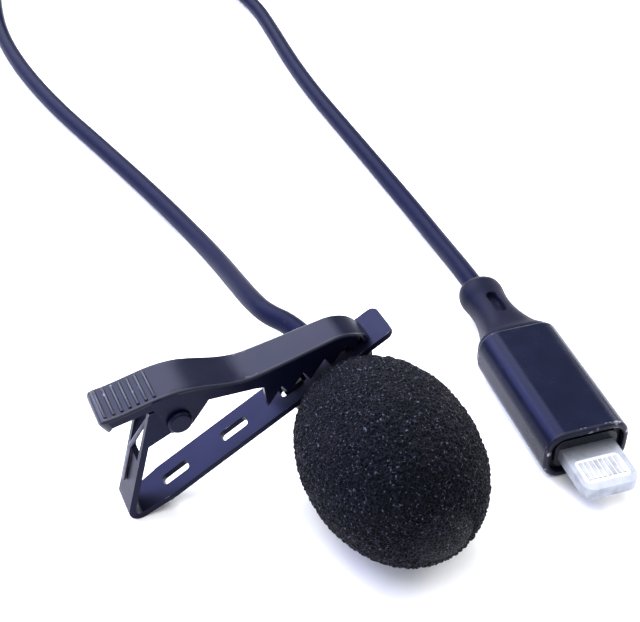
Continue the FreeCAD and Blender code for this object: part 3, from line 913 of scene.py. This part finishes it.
# ---- windscreen ---------------------------------------------------------------------------------
@dataclass
class Windscreen:
    """Foam ball over the capsule, bored from behind for the barrel."""

    wardrobe: Wardrobe
    radius: float = 9.25
    half: float = 12.5
    middle: float = -13.05
    rear: float = -3.1
    power: float = 2.07
    bore_radius: float = 3.05
    bore_depth: float = 18.3
    spacing: float = 0.17
    rim_radius: float = 0.35
    pore: float = 0.62
    fuzz: float = 0.21
    lump: float = 2.6
    relief: float = 0.18
    sink: float = 0.18

    def outline(self) -> List[Pair]:
        """Outline from the front pole over the outside, round the rear face and down the bore.

        Returns:
            Pairs of distance along the axis and radius, in millimetres.
        """
        outside = []
        steps = 400
        for i in range(steps + 1):
            angle = math.pi * i / steps
            side = abs(math.sin(angle)) ** (2 / self.power)
            reach = -math.copysign(abs(math.cos(angle)) ** (2 / self.power), math.cos(angle))
            y = self.middle + self.half * reach
            if y < self.rear - self.rim_radius:
                outside.append((y, max(0.02, self.radius * side)))
        edge = outside[-1][1]
        rear, bore, end = self.rear, self.bore_radius, self.rear - self.bore_depth
        rim = [(rear - 0.1, edge - 0.15), (rear, edge - 0.5)]
        mouth = [(rear, bore + 0.4), (rear - 0.1, bore + 0.1), (rear - 0.4, bore)]
        return outside + rim + mouth + [(end + 0.3, bore), (end, 0.02)]

    def even(self, line: List[Pair]) -> List[Pair]:
        """The outline again at an even spacing.

        Args:
            line: The outline.

        Returns:
            Points a spacing apart.
        """
        found = [line[0]]
        carried = 0.0
        for (y0, r0), (y1, r1) in zip(line, line[1:]):
            run = math.hypot(y1 - y0, r1 - r0)
            at = self.spacing - carried
            while at <= run:
                found.append((y0 + (y1 - y0) * at / run, r0 + (r1 - r0) * at / run))
                at += self.spacing
            carried = run - (at - self.spacing)
        return found + [line[-1]]

    def relief_at(self, spot: Vector) -> float:
        """How far the foam's skin stands out at a point.

        Args:
            spot: The point, in millimetres.

        Returns:
            Height from about -1 in a pore to 1 on a strut.
        """
        near, after = noise.voronoi(spot / self.pore)[0][:2]
        strut = 1.0 - min(1.0, (after - near) * 2.2)
        fuzz = noise.noise(spot / self.fuzz)
        lumps = noise.noise(spot / self.lump)
        return strut * 1.2 - 0.6 + fuzz * 0.55 + lumps * 0.35

    def build(self, origin: Vector) -> bpy.types.Object:
        """Model the foam.

        Args:
            origin: Foot of the microphone's axis.

        Returns:
            The foam's object.
        """
        line = self.even(self.outline())
        around = int(2 * math.pi * self.radius / self.spacing)
        rows = []
        for y, radius in line:
            row = []
            for j in range(around):
                angle = 2 * math.pi * j / around
                row.append(Vector((radius * math.cos(angle), y, radius * math.sin(angle))))
            rows.append(row)
        foam = grid_object("windscreen_foam", rows, True)
        mesh = foam.data
        normals = [normal.vector.copy() for normal in mesh.vertex_normals]
        for vertex, normal in zip(mesh.vertices, normals):
            spot = vertex.co
            inner = math.hypot(spot.x, spot.z) < self.bore_radius + 0.3
            lift = -0.03 if inner else self.relief_at(spot) * self.relief - self.sink
            vertex.co = spot + normal * lift
        lift = Vector((0.0, 0.0, AXIS_HEIGHT * MM))
        mesh.transform(Matrix.Translation(origin + lift) @ Matrix.Scale(MM, 4))
        smooth_faces(mesh, 80.0)
        self.wardrobe.dress(foam, "foam")
        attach(foam, "windscreen")
        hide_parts("foam_windscreen")
        LOG.info("windscreen foam with %d faces", len(mesh.polygons))
        return foam


# ---- clip ---------------------------------------------------------------------------------------
@dataclass
class Clip:
    """Sprung clip: folded strip jaw, channel jaw with thumb pad, rivet, wire spring and the ring's foot."""

    wardrobe: Wardrobe
    tilt: float = 28.35
    pin: Pair = (-15.13, 12.97)
    bend: Pair = (-25.46, 4.65)
    bend_radius: float = 1.3
    arm_angle: float = 47.0
    wire_radius: float = 0.25
    coil_radius: float = 1.15
    coil_turns: float = 4.0
    coil_start: float = 125.0
    leg_side: float = 0.6
    leg_lift: float = 0.27
    pad_leg: Tuple[Pair, ...] = ((-19.3, 17.5), (-17.4, 15.7))
    arm_leg: Pair = (7.2, 2.6)
    edge: float = 0.14

    def local_frame(self, origin: Vector) -> Matrix:
        """Frame along the strip, in millimetres, as a matrix to the row frame.

        Args:
            origin: Foot of the microphone's axis.

        Returns:
            The matrix.
        """
        lift = origin + Vector((0.0, 0.0, AXIS_HEIGHT * MM))
        turn = Matrix.Rotation(-math.radians(self.tilt), 4, "Y")
        return Matrix.Translation(lift) @ turn @ Matrix.Scale(MM, 4)

    def arm_point(self, along: float, inwards: float) -> Vector:
        """Point on the arm's outer face.

        Args:
            along: Distance from the fold.
            inwards: Depth below the face; below 0 it stands clear.

        Returns:
            The point in the strip's frame, on the middle plane.
        """
        angle = math.radians(self.arm_angle)
        out = self.bend_radius - inwards
        return Vector((
            self.bend[0] - math.sin(angle) * out + math.cos(angle) * along, 0.0,
            self.bend[1] + math.cos(angle) * out + math.sin(angle) * along))

    def soften(self, node: str, name: str, body: str, paint: str, edge: str) -> bpy.types.Object:
        """Model a pressed part with rolled edges in place of its crisp node.

        Args:
            node: The CAD node.
            name: The piece's name.
            body: The body that it rides on.
            paint: The finish of its faces.
            edge: The finish of its edges.

        Returns:
            The piece.
        """
        piece = rolled_copy(node, name, self.edge)
        piece.data.materials.append(self.wardrobe.material(paint))
        piece.data.materials.append(self.wardrobe.material(edge))
        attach(piece, body)
        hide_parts(node)
        LOG.info("%s with %d faces", name, len(piece.data.polygons))
        return piece

    def spring_line(self) -> List[Vector]:
        """Centre line of the wire spring, from the thumb pad's leg through the coil to the arm's leg.

        Returns:
            Points in the strip's frame.
        """
        px, pz = self.pin
        line = [Vector((u, -self.leg_side, n)) for u, n in self.pad_leg]
        steps = int(self.coil_turns * 20)
        for i in range(steps + 1):
            angle = math.radians(self.coil_start) - 2 * math.pi * self.coil_turns * i / steps
            side = -self.leg_side + 2 * self.leg_side * i / steps
            line.append(Vector((
                px + self.coil_radius * math.cos(angle), side, pz + self.coil_radius * math.sin(angle))))
        for along in self.arm_leg:
            line.append(self.arm_point(along, -self.leg_lift) + Vector((0, self.leg_side, 0)))
        return line

    def build_spring(self, origin: Vector) -> bpy.types.Object:
        """Wind the wire spring, whose legs follow the two jaws.

        Args:
            origin: Foot of the microphone's axis.

        Returns:
            The spring.
        """
        spring = swept_tube("wire_spring", self.spring_line(), self.wire_radius, 12)
        local = self.local_frame(origin)
        spring.data.transform(local)
        self.wardrobe.dress(spring, "spring_steel")
        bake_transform(spring)
        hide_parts("torsion_spring")
        return spring

    def build(self, origin: Vector) -> None:
        """Model the clip's pieces.

        Args:
            origin: Foot of the microphone's axis.
        """
        # The two jaws' edge finishes paint a highlight along their rolled edges, with some real rubbed
        # wear.
        self.soften("lower_jaw", "strip_jaw", "clip", "clip_paint", "clip_edge")
        self.soften("upper_jaw", "channel_jaw", "thumb_jaw", "jaw_paint", "jaw_edge")
        self.soften("hinge_pin", "rivet", "clip", "jaw_paint", "jaw_paint")
        self.build_spring(origin)


# ---- plug ---------------------------------------------------------------------------------------
@dataclass
class Plug:
    """Flat plug: painted shell and the soft boot with its hump and oblong recesses."""

    wardrobe: Wardrobe
    place: Pair = (23.65, -16.17)
    turn: float = -6.8
    mid_height: float = 3.35
    shell_length: float = 19.0
    cable_radius: float = 1.36
    rim: float = 0.16
    slot_middle: float = 6.35
    slot_half: float = 1.40
    slot_radius: float = 0.64
    slot_depth: float = 0.75
    sections: Tuple[Tuple[float, float, float, float], ...] = (
        (-0.25, 9.7, 5.9, 3.4), (0.0, 10.15, 6.3, 3.4), (0.5, 9.9, 6.2, 3.3), (1.1, 9.0, 5.8, 3.1),
        (1.9, 8.0, 5.45, 2.8), (3.2, 6.85, 5.1, 2.6), (5.0, 5.85, 4.75, 2.4), (6.8, 5.35, 4.6, 2.3),
        (8.6, 5.4, 4.6, 2.3),
        (10.2, 5.8, 4.85, 2.3), (11.3, 5.65, 4.75, 2.3), (12.0, 5.1, 4.3, 2.2), (12.38, 4.2, 3.6, 2.1),
        (12.4, 2.9, 2.8, 2.0))

    def frame(self, origin: Vector) -> Matrix:
        """The plug's own frame in millimetres.

        Args:
            origin: Foot of the microphone's axis.

        Returns:
            The matrix to the row frame.
        """
        at = origin + Vector((*self.place, 0.0)) * MM
        turned = Matrix.Rotation(math.radians(self.turn), 4, "Z")
        return Matrix.Translation(at) @ turned @ Matrix.Scale(MM, 4)

    def section_at(self, behind: float) -> Tuple[float, float, float]:
        """Width, height and squareness of the boot at a distance behind the shell.

        Args:
            behind: The distance.

        Returns:
            The three values, smoothly between the given sections.
        """
        last = len(self.sections) - 1
        i = next((k for k in range(last) if behind <= self.sections[k + 1][0]), last - 1)
        here, there = self.sections[i], self.sections[i + 1]
        before, after = self.sections[max(i - 1, 0)], self.sections[min(i + 2, last)]
        span = there[0] - here[0]
        part = (behind - here[0]) / span
        blend = (2 * part ** 3 - 3 * part ** 2 + 1, part ** 3 - 2 * part ** 2 + part,
                 3 * part ** 2 - 2 * part ** 3, part ** 3 - part ** 2)
        values = []
        for k in (1, 2, 3):
            slope = (there[k] - before[k]) / (there[0] - before[0]) * span
            next_slope = (after[k] - here[k]) / (after[0] - here[0]) * span
            parts = (here[k], slope, there[k], next_slope)
            values.append(sum(share * value for share, value in zip(blend, parts)))
        return values[0], values[1], values[2]

    def sunk(self, x: float, behind: float) -> float:
        """How deep the oblong recess is at a point of the boot's top or underside.

        Args:
            x: Distance from the plug's middle plane.
            behind: Distance behind the shell.

        Returns:
            The depth, in millimetres.
        """
        over = max(0.0, abs(behind - self.slot_middle) - self.slot_half)
        reach = math.hypot(x, over)
        wall = max(0.0, min(1.0, (self.slot_radius + 0.07 - reach) / 0.14))
        return self.slot_depth * wall * wall * (3 - 2 * wall)

    def build_boot(self, origin: Vector) -> bpy.types.Object:
        """Model the boot.

        Args:
            origin: Foot of the microphone's axis.

        Returns:
            The boot.
        """
        rows = []
        around = 176
        steps = 170
        first, last = self.sections[0][0], self.sections[-1][0]
        for i in range(steps + 1):
            behind = first + (last - first) * i / steps
            wide, high, square = self.section_at(behind)
            row = []
            for j in range(around):
                angle = 2 * math.pi * j / around
                x = wide / 2 * math.copysign(abs(math.cos(angle)) ** (2 / square), math.cos(angle))
                z = high / 2 * math.copysign(abs(math.sin(angle)) ** (2 / square), math.sin(angle))
                if abs(z) > 1.0:
                    z -= math.copysign(self.sunk(x, behind), z)
                row.append(Vector((x, self.shell_length + behind, self.mid_height + z)))
            rows.append(row)
        for behind in (last, last - 0.6):
            rows.append([
                Vector((self.cable_radius * math.cos(2 * math.pi * j / around), self.shell_length + behind,
                        self.mid_height + self.cable_radius * math.sin(2 * math.pi * j / around)))
                for j in range(around)])
        boot = grid_object("cable_boot", rows, True)
        boot.data.transform(self.frame(origin))
        smooth_faces(boot.data, 60.0)
        self.wardrobe.dress(boot, "boot_rubber")
        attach(boot, "microphone")
        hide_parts("plug_boot")
        LOG.info("boot with %d faces", len(boot.data.polygons))
        return boot


    def build_shell(self) -> bpy.types.Object:
        """Model the shell with rolled rims in place of its crisp node.

        Returns:
            The shell.
        """
        shell = rolled_copy("plug_shell", "plug_housing", self.rim)
        shell.data.materials.append(self.wardrobe.material("plug_gloss"))
        # The rim edge finish paints a highlight along the shell's rolled rims, with some real rubbed wear.
        shell.data.materials.append(self.wardrobe.material("rim_edge"))
        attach(shell, "microphone")
        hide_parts("plug_shell")
        return shell


# ---- the object ---------------------------------------------------------------------------------
PLUG_NODES = {
    "plug_insert": "black_plastic",
    "tab_frame": "tab_metal",
    "contact_carrier_top": "white_insulator", "contact_carrier_bottom": "white_insulator",
    "plug_board": "circuit_board", "converter_chip": "chip_ceramic", "capacitor_left": "chip_ceramic",
    "capacitor_right": "chip_ceramic", "board_cradle": "black_plastic", "cable_tie": "black_rubber",
}
CONTACT_NODES = {
    "contact_%s_%d" % (face, number): "contact_gold"
    for face in ("top", "bottom") for number in range(1, 9)
}
CLIP_NODES = {"mic_holder": "black_plastic"}
MIC_NODES = {
    "capsule_barrel": "black_metal", "mic_grille": "bright_metal", "capsule_gasket": "black_rubber",
    "electret_capsule": "bright_metal", "capsule_board": "circuit_board", "lead_signal": "lead_insulation",
    "lead_ground": "lead_insulation", "tail_bushing": "black_rubber",
}


def main() -> None:
    """Build every piece in order."""
    logging.basicConfig(level=logging.INFO, format="%(name)s %(message)s")
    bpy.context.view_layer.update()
    origin = axis_point()
    studio = Studio()
    studio.set_camera(origin)
    studio.set_light(origin)
    studio.lay_floor()
    wardrobe = Wardrobe()
    for nodes in (PLUG_NODES, CLIP_NODES, MIC_NODES, CONTACT_NODES):
        wardrobe.dress_nodes(nodes)
    plug = Plug(wardrobe)
    plug_pieces = [frame["nodes"][name] for name in PLUG_NODES]
    plug_pieces += [plug.build_boot(origin), plug.build_shell()]
    Cable(wardrobe).build(origin, plug_pieces)
    Clip(wardrobe).build(origin)
    Windscreen(wardrobe).build(origin)


if __name__ == "__main__":
    main()
